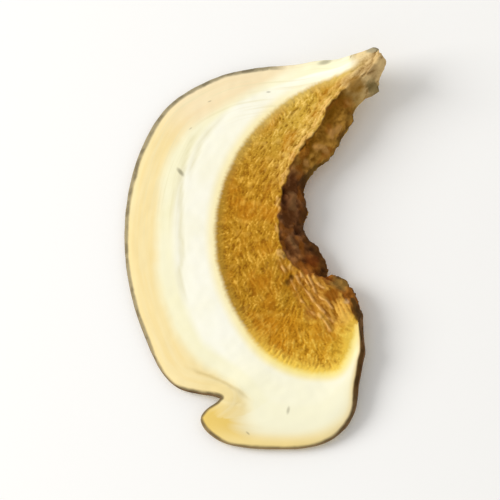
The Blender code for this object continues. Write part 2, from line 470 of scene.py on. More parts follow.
# %% [markdown]
# ## Grain of the cut tubes
# The knife went through thousands of thin tubes, and drying pulled them into short raised strokes and
# crumbs with dark gaps between. Where the layer folds over in the lower arm they are drawn out into
# pleats, and near the tip into longer strands.

# %% Grain
PLEAT_LEAN = -54  # degrees
TIP_STRAND_LEAN = 50
DOWN_THE_PLEATS = (0.56, -0.83)
ACROSS_THE_PLEATS = (0.83, 0.56)

stroke = 0.5 + 0.95 * combed(lean, 0.32, 1.2, 2)
grain = (0.6 * stroke + 0.4 * crumbs + 0.36 * coarse).clip(0, 1)
down_pleats = xy @ DOWN_THE_PLEATS
folded = fade(xy @ ACROSS_THE_PLEATS, 2.4, 4.2) * fade(down_pleats, 6.0, 8.0) * top
folded = folded * (1 - fade(down_pleats, 15.5, 18))
pleats = (0.5 + 1.2 * combed_one_way(PLEAT_LEAN, 0.34, 2.6, 6)).clip(0, 1)
grain = grain * (1 - 0.7 * folded) + 0.7 * folded * pleats
near_tip = 1 - fade(along_crest, 5, 9)
tip_strands = (0.5 + 0.9 * combed_one_way(TIP_STRAND_LEAN, 0.36, 2.2, 23)).clip(0, 1)
grain = grain * (1 - 0.85 * near_tip) + 0.85 * near_tip * tip_strands
print("grain up to", grain.max().round(2), "and on average", grain.mean().round(2))

# %% [markdown]
# ## Lines of the single features
# Some features stand alone and are too clear to leave to chance: the ridges of the folded lower arm,
# the folds and clefts of the pore face, two faint grooves in the flesh, the dark lip where the skin
# meets the knob, the small fold at the notch, and a dozen holes along the crest. Each gets a few
# points, seen from above, in millimetres.

# %% Lines of the single features
RIDGES = (
    ((6.0, -4.3), (6.2, -4.9), (7.1, -6.6), (7.9, -8.1), (8.9, -9.2), (10.4, -10.1), (11.5, -11.3),
     (12.3, -12.7)),
    ((6.6, -3.8), (7.1, -4.7), (8.4, -6.4), (9.2, -7.5), (10.4, -9.0), (11.8, -10.3), (12.8, -11.4)),
    ((8.1, -3.1), (8.5, -4.0), (9.2, -5.5), (10.1, -7.1), (11.5, -8.3), (12.5, -9.5)),
    ((7.3, -3.6), (7.9, -4.6), (8.6, -5.5), (9.3, -6.5)),
    ((9.1, -3.9), (9.7, -5.0), (10.4, -5.8), (11.5, -6.6)),
    ((4.5, -1.6), (4.9, -2.9), (5.6, -3.9), (6.0, -4.4)),
)
PORE_FOLDS = (
    ((13.8, 21.9), (13.3, 20.9)),
    ((13.0, 18.4), (12.2, 17.7), (11.4, 16.9), (11.5, 15.9)),
    ((8.6, 14.2), (9.5, 14.8), (10.4, 14.8), (10.3, 13.9)),
    ((7.2, 12.9), (7.9, 12.5), (8.4, 11.8)),
    ((6.0, 8.6), (6.2, 6.8), (6.2, 4.9)),
    ((5.6, 1.6), (6.4, 0.3), (7.3, -0.5)),
)
CLEFTS = (
    ((13.1, 22.0), (12.7, 21.0), (12.3, 19.7), (11.4, 18.8), (11.0, 17.6)),
    ((6.9, 13.9), (7.9, 14.5), (8.9, 15.1), (9.9, 15.7), (10.9, 16.6)),
    ((5.1, 8.9), (5.0, 7.0), (5.0, 5.7), (5.3, 4.4)),
    ((6.6, 3.2), (7.3, 2.1), (7.8, 1.4)),
)
GROOVES = (
    ((-6.8, 20.0), (-9.0, 16.7), (-10.0, 12.6), (-10.2, 8.5), (-10.0, 3.4), (-9.7, -0.6), (-9.9, -3.6),
     (-8.5, -8.7)),
    ((-3.6, 21.7), (-7.3, 17.2), (-8.8, 12.6), (-9.0, 10.0)),
)
DARK_LIP = (((14.6, -7.2), (15.0, -8.2), (15.4, -9.1), (15.7, -10.3), (16.0, -11.2)),)
NOTCH_FOLD = (((-4.2, -21.6), (-2.9, -22.4), (-1.3, -22.8), (0.2, -23.0)),)
HOLES = (  # place and radius
    (4.9, 7.9, 0.5), (5.1, 6.3, 0.45), (4.7, 3.9, 0.4), (4.8, 0.9, 0.5),
    (8.1, -2.1, 0.6), (5.7, -5.3, 0.5), (6.3, -4.6, 0.4), (5.3, -1.6, 0.35),
    (10.6, -3.0, 0.4), (7.0, 6.2, 0.4), (6.8, 2.2, 0.5), (9.0, 0.1, 0.4),
)
print("ridges, folds, clefts and holes:", len(RIDGES), len(PORE_FOLDS), len(CLEFTS), len(HOLES))

# %% [markdown]
# ## Ridges, folds and pits
# A line becomes a ridge or a groove by asking how near every point is to it. The question is put to
# slightly wandering points, and the reach changes along the way, so that no ridge looks drawn with a
# ruler. The pore face also gets random knobs and pits, because it shrank without any pattern.

# %% Ridges, folds and pits
def near_lines(lines, reach, taper=0.8):
    """1 on the lines, a third at the reach beside them, and fading over the taper at their ends."""
    nearness = np.zeros(len(xy))
    for points in lines:
        line = smooth_line(points)
        away, run = beside(line, wandering)
        total = np.linalg.norm(np.diff(line, axis=0), axis=1).sum()
        ends = fade(run, 0, taper) * (1 - fade(run, total - taper, total))
        nearness = np.maximum(nearness, np.exp(-(away / reach) ** 2) * ends)
    return nearness


wander = np.stack([waves(place, 1.3, 10), waves(place, 1.3, 11)], axis=1)
wandering = xy + 0.16 * wander
uneven = 1 + 0.6 * waves(place, 1.0, 12)
broken = 0.35 + 0.65 * fade(waves(place, 0.9, 16), -0.3, 0.2)
ridge = near_lines(RIDGES, 0.24 * uneven) * top * broken
valley = (near_lines(RIDGES, 0.75) * top - ridge).clip(0)
pore_fold = near_lines(PORE_FOLDS, 0.42 * uneven) * top
cleft = near_lines(CLEFTS, 0.5 * uneven) * top
dark_lip = near_lines(DARK_LIP, 0.45) * top
groove = near_lines(GROOVES, 0.35, 4.0) * top
crease = near_lines((CREASE,), 0.26 * uneven, 2.5) * top
notch_fold = near_lines(NOTCH_FOLD, 0.25) * top
hole = sum(np.exp(-((xy - (x, y)) ** 2).sum(1) / r ** 2) for x, y, r in HOLES) * top
strands = waves(flat(along_crest / 2.6, past_crest / 0.9), 1.0, 7)
knobs = 0.9 * strands + 0.5 * waves(place, 1.0, 15) + 0.4 * waves(place, 0.5, 18)
pits = cells(place, 0.55, 8)
print("ridge points:", int((ridge > 0.5).sum()), " groove points:", int((groove > 0.5).sum()))

# %% [markdown]
# ## Crest, torn tip and wall
# Three more places are needed. A raised, broken rim runs along the crest, where the tubes' ends stand
# free, and it gets a painted highlight. At the torn tip, fibres cover both tubes and flesh. The wall
# is the thin upright side below the rim, which carries the skin, and it is lowest from the notch
# round the lobe.

# %% Crest, torn tip and wall
crest_rim = np.exp(-((past_crest + ragged + 0.45) / (0.5 * uneven)) ** 2) * top
crest_rim = crest_rim * fade(along_crest, 2, 8) * (1 - fade(along_crest, 34, 38))
crest_rim = crest_rim * fade(waves(place, 1.4, 13), -0.4, 0.2)
torn = (1 - fade(along_crest + 0.8 * wander[:, 1], 4, 8)) * fade(past_crest, -2.6, -1.2)
thin = fade(round_rim, 74, 84) * (1 - fade(round_rim, 114, 119))
wall = 1 - fade(np.abs(tilt + 0.12 * thin), 0.45 - 0.25 * thin, 0.8 - 0.35 * thin)
wall = wall * (1 - fade(rim, 0.6, 1.0))
side = 1 - fade(level, 0.1, 0.7)
print("points on the wall:", int((wall > 0.5).sum()), " torn points:", int((torn > 0.5).sum()))

# %% [markdown]
# ## Add up the relief
# All of it is added up as a height in millimetres. A relief in the mesh itself catches light and casts
# small shadows from every side, which a painted one can't do.

# %% Add up the relief
GRAIN_HEIGHT = 0.23  # mm, like all of these
RIDGE_HEIGHT = 0.28
VALLEY_DEPTH = 0.12
CREST_HEIGHT = 0.1
KNOB_HEIGHT = 0.38
PIT_HEIGHT = 0.16
PORE_FOLD_HEIGHT = 0.3
CLEFT_DEPTH = 0.24
HOLE_DEPTH = 0.25
STRAND_HEIGHT = 0.2
SCRAP_HEIGHT = 0.14
NOTCH_FOLD_HEIGHT = 0.1
GROOVE_DEPTH = 0.06
CREASE_DEPTH = 0.1
SWELLING = 0.05

calm = 0.35 + 0.65 * fade(depth, 0.0, 1.2)
height = GRAIN_HEIGHT * (grain - 0.5) * tubes * (1 - pore) * calm
height += RIDGE_HEIGHT * ridge - VALLEY_DEPTH * valley + CREST_HEIGHT * crest_rim
rough_pore = KNOB_HEIGHT * knobs.clip(-1, 1) + PIT_HEIGHT * (pits - 0.5)
height += pore * (1 - 0.6 * near_tip) * rough_pore
height += pore * (PORE_FOLD_HEIGHT * pore_fold - CLEFT_DEPTH * cleft) - HOLE_DEPTH * hole
scraps = cells(place, 0.9, 14)
height += torn * (STRAND_HEIGHT * (tip_strands - 0.5) + SCRAP_HEIGHT * (scraps - 0.5))
creases = NOTCH_FOLD_HEIGHT * notch_fold - GROOVE_DEPTH * groove - CREASE_DEPTH * crease
height += (creases + SWELLING * waves(flat(along, depth), 1.1, 9)) * (1 - tubes)
print("highest bump:", height.max().round(2), "mm, deepest dent:", height.min().round(2), "mm")

# %% [markdown]
# ## Raise the surface
# Every point moves along its own normal by its height. The rim also swells outwards a little, as skin
# does when the flesh behind it shrinks, and the fibres of the tip reach about a millimetre past the
# plain solid. Nothing may sink below the table or rise far above the solid, so the heights are limited
# at the end, and the flat underside keeps its own.

# %% Raise the surface
LYING_BELOW = 0.05  # mm above the table
TIP_REACH = (1.0, 0.2)  # mm
MOST_ABOVE = 0.1  # mm above the plain solid

moved = place + normal * height[:, None]
outward = normal[:, :2] / np.linalg.norm(normal[:, :2], axis=1).clip(0.05)[:, None]
swell = 0.1 + 0.25 * fade(xy[:, 1] - 0.4 * xy[:, 0], 5, 20)
swell = swell * (1 - fade(rim, 0.2, 0.9)) * (1 - fade(level, 0.6, 1.0))
moved[:, :2] += outward * swell[:, None]
lying = place[:, 2] < LYING_BELOW
moved[lying, 2] = place[lying, 2]
moved[:, :2] += np.outer((1 - fade(along_crest, 1, 7)) * fade(past_crest, -4, -0.5), TIP_REACH)
moved[:, 2] = moved[:, 2].clip(0, solid_high[2] + MOST_ABOVE)
piece.data.vertices.foreach_set("co", (moved * MM).astype(np.float32).ravel())
piece.data.update()
print("farthest move:", np.linalg.norm(moved - place, axis=1).max().round(2), "mm")

# %% [markdown]
# ## Values for the colours
# The colours need to know the same things that shaped the surface. So those values are stored on the
# points under plain names, and a stain of colour can't slip off the ridge that it belongs to.

# %% Values for the colours
values = {
    "depth": depth, "rim": rim, "past_crest": past_crest, "past_tan": past_tan, "along": along,
    "round_rim": round_rim, "along_crest": along_crest, "pore": pore, "grain": grain,
    "knobs": knobs, "wall": wall, "side": side, "pits": pits, "ridge": ridge,
    "crest_rim": crest_rim, "valley": valley, "folded": folded, "groove": groove,
    "crease": crease, "pore_fold": pore_fold, "cleft": cleft, "dark_lip": dark_lip,
    "notch_fold": notch_fold, "hole": hole, "torn": torn,
}
for name, value in values.items():
    layer = piece.data.attributes.new(name, "FLOAT", "POINT")
    layer.data.foreach_set("value", value.astype(np.float32))
rim_flow = piece.data.attributes.new("rim_flow", "FLOAT_VECTOR", "POINT")
rim_flow.data.foreach_set("vector", flat(round_rim, rim).astype(np.float32).ravel())
print("stored:", ", ".join(values))

# %% [markdown]
# ## Helpers for the finish
# The finish is a network of small steps. These helpers keep it readable: pick a colour, put something
# into a socket, and read a stored value by its name. Such a value is cached, so that it needs only
# one node, however often it is used.

# %% Helpers for the finish
finish = bpy.data.materials.new("dried_mushroom")
finish.use_nodes = True
tree = finish.node_tree
surface = tree.nodes["Principled BSDF"]


def as_light(part):
    """One part of a screen's colour, from 0 to 255, as an amount of light."""
    return ((part / 255 + 0.055) / 1.055) ** 2.4 if part > 10 else part / 3295


def colour(red, green, blue):
    """A colour as given for a screen, turned into light."""
    return as_light(red), as_light(green), as_light(blue), 1


@functools.cache
def stored(name, output="Fac"):
    """A value that was kept on the points."""
    node = tree.nodes.new("ShaderNodeAttribute")
    node.attribute_name = name
    return node.outputs[output]


def feed(socket, value):
    """Puts a stored value's name, a link or a plain value into a socket."""
    if isinstance(value, str):
        value = stored(value)
    if isinstance(value, bpy.types.NodeSocket):
        tree.links.new(value, socket)
    else:
        socket.default_value = value


print("a mid grey is", [round(part, 3) for part in colour(128, 128, 128)[:3]], "in light")

# %% [markdown]
# ## Sums and mixes
# A few more helpers do sums with the stored values. The most used one fades smoothly between two
# limits, so that no colour on the slice ends with a hard edge.

# %% Sums and mixes
def between(value, start, end, low=0.0, high=1.0):
    """low before start, high after end, and smooth between them. Start may be above end."""
    node = tree.nodes.new("ShaderNodeMapRange")
    node.interpolation_type = "SMOOTHSTEP"
    flip = start > end
    feed(node.inputs["Value"], value)
    node.inputs["From Min"].default_value = min(start, end)
    node.inputs["From Max"].default_value = max(start, end)
    node.inputs["To Min"].default_value = high if flip else low
    node.inputs["To Max"].default_value = low if flip else high
    return node.outputs["Result"]


def calc(kind, a, b):
    """Simple sum of two values."""
    node = tree.nodes.new("ShaderNodeMath")
    node.operation = kind
    feed(node.inputs[0], a)
    feed(node.inputs[1], b)
    return node.outputs[0]


def times(first, *others):
    """All the values multiplied."""
    for other in others:
        first = calc("MULTIPLY", first, other)
    return first


def stretch(name, start, full, leave, end):
    """1 on a stretch of a line: rising from start to full, falling from leave to end."""
    return times(between(name, start, full), between(name, end, leave))


def mixed(amount, first, second):
    """From the first colour to the second as the amount goes from 0 to 1."""
    node = tree.nodes.new("ShaderNodeMix")
    node.data_type = "RGBA"
    feed(node.inputs["Factor"], amount)
    feed(node.inputs[6], first)
    feed(node.inputs[7], second)
    return node.outputs[2]


print("helpers are ready,", len(tree.nodes), "steps so far")

# %% [markdown]
# ## Random spots
# Spots of a given size break up every colour. They read the place on the object, so they stay with
# it. Streaks read the two rim distances instead, and so they bend along the rim as the grain of the
# flesh does.

# %% Random spots
where = tree.nodes.new("ShaderNodeTexCoord").outputs["Object"]
where_parts = tree.nodes.new("ShaderNodeSeparateXYZ")
tree.links.new(where, where_parts.inputs[0])
towards_end = where_parts.outputs["Y"]
above_table = where_parts.outputs["Z"]


def spots(size, detail=2.0, place_in=where):
    """Random values around 0.5. The size is in the unit of the place."""
    node = tree.nodes.new("ShaderNodeTexNoise")
    node.inputs["Scale"].default_value = 1 / size
    node.inputs["Detail"].default_value = detail
    tree.links.new(place_in, node.inputs["Vector"])
    return node.outputs["Fac"]


def streaks(lengthwise, crosswise, detail):
    """Random streaks along the rim. The two numbers say how fast they change per millimetre."""
    squeeze = tree.nodes.new("ShaderNodeMapping")
    squeeze.inputs["Scale"].default_value = (lengthwise, crosswise, 1)
    tree.links.new(stored("rim_flow", "Vector"), squeeze.inputs["Vector"])
    return spots(1.0, detail, squeeze.outputs[0])


def swing(value, strength):
    """A value around 0.5, turned into one that swings to both sides of 0."""
    return times(calc("SUBTRACT", value, 0.5), strength)


print("place is read,", len(tree.nodes), "steps so far")

# %% [markdown]
# ## Cream of the flesh
# Fresh flesh is whitish and dries to a pale cream. Between rim and tubes it isn't even: a yellowish
# zone comes first, then a nearly white one, and a yellowish hem where the tubes begin. The share of
# the way from rim to tubes picks the zone, because the slice is not equally wide everywhere.

# %% Cream of the flesh
WHITISH = colour(253, 252, 238)
YELLOWISH = colour(248, 243, 206)
CLOUDY = colour(249, 246, 218)
LOBE_CREAM = colour(253, 249, 214)
HEM_CREAM = colour(252, 240, 190)

across = calc("DIVIDE", "rim", calc("SUBTRACT", "rim", "depth"))
yellow_zone = times(between(across, 0.6, 0.48), between("round_rim", 92, 76, 0.35, 1.0))
cream = mixed(yellow_zone, WHITISH, YELLOWISH)
cream = mixed(between(spots(5 * MM), 0.3, 0.7, 0, 0.5), cream, CLOUDY)
cream = mixed(between(towards_end, -15 * MM, -21 * MM, 0, 0.6), cream, LOBE_CREAM)
near_tubes = times(between("depth", -1.8, -0.1), between("along", 6, 18, 0.3, 1))
cream = mixed(near_tubes, cream, HEM_CREAM)
print("cream added,", len(tree.nodes), "steps so far")

# %% [markdown]
# ## Tan band
# Towards the skin the flesh turns tan, in a band with a soft, slightly streaky edge. Round the lobe
# below the notch the band is wide and more golden, so it gets its own fade there.

# %% Tan band
TAN = colour(244, 221, 160)
LOBE_TAN = colour(234, 202, 112)
TOP_TAN = colour(245, 224, 182)

bands = streaks(0.1, 1.3, 3)
edge = calc("ADD", "past_tan", times(calc("ADD", bands, spots(3 * MM)), 0.9))
lobe = times(between("round_rim", 80, 88), between("past_tan", 1.6, -4.8), 1.45)
tan_amount = mixed(between("round_rim", 78, 90), between(edge, 1.9, -0.1), lobe)
tan_amount = times(tan_amount, between(bands, 0.3, 0.7, 0.8, 1.0))
tan_colour = mixed(stretch("round_rim", 78, 85, 92, 104), TAN, LOBE_TAN)
tan_colour = mixed(between("round_rim", 38, 26), tan_colour, TOP_TAN)
flesh = mixed(tan_amount, cream, tan_colour)
print("tan band added,", len(tree.nodes), "steps so far")

# %% [markdown]
# ## Streaks, grooves and low edge
# Faint greyish streaks follow the rim in the upper arm. The grooves and the crease get painted shade,
# the small fold at the notch a painted highlight, and the low edge of the lobe is thin, so it has
# dried to a warm yellow.

# %% Streaks, grooves and low edge
STREAK_GREY = colour(232, 224, 182)
GROOVE_SHADE = colour(220, 212, 168)
CREASE_SHADE = colour(206, 184, 126)
LOW_YELLOW = colour(250, 225, 152)
FOLD_HIGHLIGHT = colour(250, 234, 182)

streaky = times(between("round_rim", 56, 44), between("rim", 9, 6))
streaky = times(streaky, between(streaks(0.05, 2.2, 2), 0.5, 0.7, 0, 0.5))
flesh = mixed(streaky, flesh, STREAK_GREY)
# painted shade in the grooves and the crease
flesh = mixed(times("groove", 0.5), flesh, GROOVE_SHADE)
flesh = mixed(times("crease", 0.5), flesh, CREASE_SHADE)
low_edge = times(between("rim", 2.4, 0.2), between("round_rim", 88, 94))
low_edge = times(low_edge, between("round_rim", 114, 102, 0.3, 1.0))
flesh = mixed(low_edge, flesh, LOW_YELLOW)
# painted highlight on the small fold at the notch
flesh = mixed(times("notch_fold", 0.55), flesh, FOLD_HIGHLIGHT)
print("flesh has", len(tree.nodes), "steps so far")

# %% [markdown]
# ## Small marks on the flesh
# A few tiny dark ticks, no longer than a millimetre or two, sit on the flesh where grit or an old
# insect track was cut. Each is a soft oval: a Mapping node centres, turns and squeezes the place, and
# the length of what comes out is the distance from the mark's middle.

# %% Small marks on the flesh
MARKS = (  # place in mm, length, turn in degrees, darkness
    (-10.4, 12.3, 0.8, 128, 0.62), (1.9, 24.4, 0.35, 0, 0.45), (6.2, -23.6, 0.6, 80, 0.4),
    (-6.6, 23.2, 0.3, 20, 0.4), (0.6, -26.9, 0.35, 140, 0.4), (-9.2, 19.0, 0.3, 40, 0.3),
    (10.0, 28.5, 1.1, 4, 0.55), (12.0, 28.5, 0.9, 4, 0.15), (13.9, 28.5, 0.28, 70, 0.75),
)
MARK_GREY = colour(112, 104, 78)
SLENDERNESS = 0.4
DEEP = 1000  # marks go straight down, so height doesn't count

for x, y, size, turned, darkness in MARKS:
    oval = tree.nodes.new("ShaderNodeMapping")
    oval.vector_type = "TEXTURE"
    oval.inputs["Location"].default_value = (x * MM, y * MM, 0)
    oval.inputs["Rotation"].default_value = (0, 0, math.radians(turned))
    oval.inputs["Scale"].default_value = (size * MM, SLENDERNESS * size * MM, DEEP)
    tree.links.new(where, oval.inputs["Vector"])
    distance = tree.nodes.new("ShaderNodeVectorMath")
    distance.operation = "LENGTH"
    tree.links.new(oval.outputs[0], distance.inputs[0])
    flesh = mixed(between(distance.outputs["Value"], 1.4, 0.3, 0, darkness), flesh, MARK_GREY)
print("marks:", len(MARKS))

# %% [markdown]
# ## Gold of the tubes
# The tubes are golden brown. Every grain gets a painted highlight on top and painted shade in the
# gaps, so the grain that shaped the surface also picks the tone, with finer spots added. Towards the
# tip and along the crest the tubes are paler, and in the lower arm more yellow.

# %% Gold of the tubes
GAP_SHADE, MIDDLE, LIGHT = colour(136, 86, 6), colour(174, 125, 26), colour(219, 169, 66)
TIP_GAP_SHADE, TIP_MIDDLE, TIP_LIGHT = colour(142, 102, 20), colour(194, 155, 54), colour(234, 197, 104)
LOW_GAP_SHADE, LOW_MIDDLE, LOW_LIGHT = colour(160, 108, 14), colour(206, 152, 38), colour(240, 196, 80)
CREST_MIDDLE, CREST_LIGHT = colour(202, 160, 74), colour(238, 202, 120)

towards_tip = between("along", 29, 14)
low_end = between("along", 47, 62)
near_crest = times(between("past_crest", -3.6, -0.8), between("along_crest", 26, 16), 0.7)
gold = calc("ADD", times("grain", 0.72), times(spots(0.3 * MM, 3), 0.62))
# painted shade for the gaps between the grains
gap = mixed(low_end, mixed(towards_tip, GAP_SHADE, TIP_GAP_SHADE), LOW_GAP_SHADE)
middle = mixed(low_end, mixed(towards_tip, MIDDLE, TIP_MIDDLE), LOW_MIDDLE)
middle = mixed(near_crest, middle, CREST_MIDDLE)
light = mixed(low_end, mixed(towards_tip, LIGHT, TIP_LIGHT), LOW_LIGHT)
light = mixed(near_crest, light, CREST_LIGHT)
# painted shade in the gaps and painted highlight on the tops of the grain
tube_colour = mixed(between(gold, 0.26, 0.6), gap, middle)
tube_colour = mixed(between(gold, 0.6, 1.0), tube_colour, light)
print("gold added,", len(tree.nodes), "steps so far")

# %% [markdown]
# ## Patches and hems of the tubes
# Larger orange patches and small light ones lie over the grain. Next to the flesh the tubes are
# duller in the upper part and bright yellow in the lower arm, where the cut ends fray into the flesh.

# %% Patches and hems of the tubes
PATCH_ORANGE = colour(182, 116, 16)
HEM_BROWN = colour(164, 130, 48)
TIP_HEM = colour(214, 186, 104)
LOW_HEM = colour(242, 204, 84)

tube_colour = mixed(between(spots(4 * MM), 0.46, 0.68, 0, 0.55), tube_colour, PATCH_ORANGE)
tube_colour = mixed(between(spots(1.3 * MM, 1), 0.52, 0.75, 0, 0.4), tube_colour, light)
hem = times(between("depth", 1.8, 0.3), between("along", 58, 46), 0.65)
tube_colour = mixed(hem, tube_colour, mixed(between("along", 32, 14), HEM_BROWN, TIP_HEM))
frayed_depth = calc("SUBTRACT", "depth", times("grain", 1.2))
tube_colour = mixed(times(between(frayed_depth, 1.9, -0.5), low_end), tube_colour, LOW_HEM)
print("patches and hems added,", len(tree.nodes), "steps so far")

# %% [markdown]
# ## Pleats, ridges and torn end
# The folded part gets painted shade between its ridges and a painted highlight on top of them. The
# broken rim of the crest gets a painted highlight too, and at the torn tip the fibres are a dull straw
# colour, with painted shade and highlight picked by their grain.

# %% Pleats, ridges and torn end
PLEAT_SHADE, PLEAT_LIGHT = colour(146, 90, 10), colour(228, 172, 76)
VALLEY_SHADE = colour(146, 88, 22)
RIDGE_HIGHLIGHT = colour(228, 176, 104)
CREST_HIGHLIGHT = colour(236, 188, 112)
TORN_SHADE, TORN_LIGHT = colour(146, 112, 58), colour(214, 184, 128)

# painted shade and highlight of the pleats, picked by the grain height
pleat_colour = mixed(between(gold, 0.25, 0.8), PLEAT_SHADE, PLEAT_LIGHT)
tube_colour = mixed(times("folded", 0.75), tube_colour, pleat_colour)
# painted shade in the valleys between the ridges
tube_colour = mixed(between("valley", 0.1, 0.7, 0, 0.4), tube_colour, VALLEY_SHADE)
# painted highlight on the ridges
tube_colour = mixed(between("ridge", 0.15, 1.0, 0, 0.75), tube_colour, RIDGE_HIGHLIGHT)
# painted highlight along the broken rim of the crest
crest_highlight = times(between("crest_rim", 0.2, 0.9, 0, 0.6), between(gold, 0.2, 0.8, 0.3, 1.0))
tube_colour = mixed(crest_highlight, tube_colour, CREST_HIGHLIGHT)
# the torn fibres' straw colour, with painted shade in the gaps and painted highlight on top
tube_colour = mixed("torn", tube_colour, mixed(between(gold, 0.3, 0.85), TORN_SHADE, TORN_LIGHT))
print("tubes have", len(tree.nodes), "steps so far")

# %% [markdown]
# ## Brown of the pore face
# The pore face is the old underside of the cap. It is the darkest part: purplish brown in the middle,
# golden brown towards the tip and reddish towards the lower arm. Its knobs get a painted highlight
# and its pits painted shade, so the values that shaped them pick the tone here as well. In the upper
# part it also gets painted shade next to the crest and a painted highlight further out.

# %% Brown of the pore face
UPPER_LIGHT, UPPER_DARK = colour(200, 148, 62), colour(122, 80, 8)
INNER_LIGHT, INNER_DARK = colour(149, 101, 61), colour(92, 52, 20)
LOWER_LIGHT, LOWER_DARK = colour(196, 130, 50), colour(120, 60, 6)

in_middle = between("along_crest", 18, 22)
at_end = between("along_crest", 33, 40)
pore_lit = mixed(at_end, mixed(in_middle, UPPER_LIGHT, INNER_LIGHT), LOWER_LIGHT)
pore_shaded = mixed(at_end, mixed(in_middle, UPPER_DARK, INNER_DARK), LOWER_DARK)
# painted shade next to the crest and painted highlight further out, in the upper part
outer = times(between("past_crest", 0.6, 2.4, -0.2, 0.12), between(in_middle, 1, 0))
lumps = calc("ADD", times("knobs", 0.6), times("pits", 0.15))
lumps = calc("ADD", calc("ADD", lumps, outer), times(spots(0.9 * MM), 0.6))
# painted highlight on the knobs and painted shade in the pits
pore_colour = mixed(between(lumps, 0.0, 0.9), pore_shaded, pore_lit)
print("brown added,", len(tree.nodes), "steps so far")

# %% [markdown]
# ## Blotches, folds and edge of the pore face
# Orange blotches come next, with a dark line of painted shade below the crest, then painted shade in
# the clefts and a painted highlight on the folds that were modelled. The foot of the pore face lies in
# shade and gets painted shade in dark brown, and near the tip the face pales, with a painted highlight
# on its knobs and painted shade in its pits.

# %% Blotches, folds and edge of the pore face
BLOTCH_ORANGE = colour(150, 88, 20)
UNDER_CREST_SHADE = colour(76, 42, 6)
UPPER_CLEFT_SHADE, INNER_CLEFT_SHADE = colour(124, 80, 6), colour(66, 28, 4)
UPPER_FOLD_HIGHLIGHT, INNER_FOLD_HIGHLIGHT = colour(192, 142, 76), colour(124, 88, 52)
UPPER_FOOT_SHADE, INNER_FOOT_SHADE = colour(94, 70, 24), colour(72, 46, 20)
TIP_PORE_SHADE, TIP_PALE = colour(112, 78, 26), colour(156, 118, 64)

pore_colour = mixed(between(spots(2.2 * MM, 1), 0.5, 0.64, 0, 0.6), pore_colour, BLOTCH_ORANGE)
# painted shade in a dark line just below the crest
pore_colour = mixed(between("past_crest", 0.5, 0.05, 0, 0.5), pore_colour, UNDER_CREST_SHADE)
# painted shade in the clefts
cleft_shade = mixed(in_middle, UPPER_CLEFT_SHADE, INNER_CLEFT_SHADE)
pore_colour = mixed(between("cleft", 0.05, 0.9, 0, 0.7), pore_colour, cleft_shade)
# painted highlight on the folds
fold_highlight = mixed(in_middle, UPPER_FOLD_HIGHLIGHT, INNER_FOLD_HIGHLIGHT)
pore_colour = mixed(between("pore_fold", 0.05, 0.9, 0, 0.75), pore_colour, fold_highlight)
# painted shade at the foot of the pore face, on its steep parts and near the table
low_down = times(between(above_table, 4.2 * MM, 2.8 * MM, 0, 0.8), in_middle)
foot_shade = calc("MAXIMUM", between("side", 0.2, 0.8, 0, 0.85), low_down)
pore_colour = mixed(foot_shade, pore_colour, mixed(in_middle, UPPER_FOOT_SHADE, INNER_FOOT_SHADE))
# painted highlight on the knobs and painted shade in the pits near the tip
tip_pore = mixed(between(lumps, 0.0, 0.8), TIP_PORE_SHADE, TIP_PALE)
pore_colour = mixed(between("along_crest", 8, 4.5), pore_colour, tip_pore)
print("pore face has", len(tree.nodes), "steps so far")

# %% [markdown]
# ## Stains on tubes and pore face
# Drying also leaves larger stains: olive and orange brown on the knob at the lower end, dark next to
# the skin, pale where fibres stand free. They are soft round patches, broken up by noise, because a
# plain disk would look stamped.

# %% Stains on tubes and pore face
STAINS = (  # place in mm, radius, colour, strength
    (5.6, -12.0, 2.8, (188, 120, 12), 0.4), (13.3, -14.6, 1.9, (208, 168, 50), 0.4),
    (13.1, -5.4, 1.3, (156, 124, 62), 0.75), (12.3, -7.2, 1.2, (138, 78, 6), 0.9),
    (14.1, -8.2, 0.5, (204, 166, 116), 0.6), (13.9, -10.4, 1.0, (232, 186, 84), 0.6),
    (8.9, -1.7, 1.2, (122, 58, 12), 0.55), (8.7, -3.7, 0.9, (176, 108, 40), 0.5),
    (17.3, 23.7, 1.0, (118, 104, 62), 0.75), (9.0, -9.6, 1.1, (164, 104, 42), 0.4),
    (14.7, 23.7, 1.4, (148, 104, 22), 0.75), (17.0, 25.7, 1.0, (146, 110, 62), 0.4),
)
LIP_BROWN = colour(74, 52, 20)

ragged_by = swing(spots(1.1 * MM), 1.3)
flattened = tree.nodes.new("ShaderNodeVectorMath")
flattened.operation = "MULTIPLY"
tree.links.new(where, flattened.inputs[0])
flattened.inputs[1].default_value = (1 / MM, 1 / MM, 0)
stained = mixed("pore", tube_colour, pore_colour)
for x, y, size, stain, strength in STAINS:
    from_middle = tree.nodes.new("ShaderNodeVectorMath")
    from_middle.operation = "DISTANCE"
    tree.links.new(flattened.outputs[0], from_middle.inputs[0])
    from_middle.inputs[1].default_value = (x, y, 0)
    away = calc("ADD", from_middle.outputs["Value"], ragged_by)
    stained = mixed(between(away, 1.25 * size, 0.5 * size, 0, strength), stained, colour(*stain))
stained = mixed(between("dark_lip", 0.1, 0.8, 0, 0.85), stained, LIP_BROWN)
print("stains:", len(STAINS))

# %% [markdown]
# ## Colour of the skin
# The thin skin shows as a brown line round the rim. It is pale at the tip and the top left, browner
# round the notch and the lobe, and dark on the right, partly its own brown and partly painted shade,
# since that side faces away from the lamp. On the wall below the rim it is seen full face and is a
# darker brown, except round the lobe, where it is thin and pale.

# %% Colour of the skin
TOP_SKIN, LEFT_SKIN, LOBE_SKIN = colour(158, 146, 116), colour(160, 146, 112), colour(144, 124, 86)
LOW_SKIN, TIP_SKIN, RIGHT_SKIN_AND_SHADE = colour(124, 100, 66), colour(168, 156, 124), colour(92, 64, 32)
SKIN_FLECK = colour(40, 28, 12)
WALL_DARK, WALL_LIGHT, LOBE_WALL = colour(96, 66, 40), colour(134, 98, 62), colour(168, 142, 102)

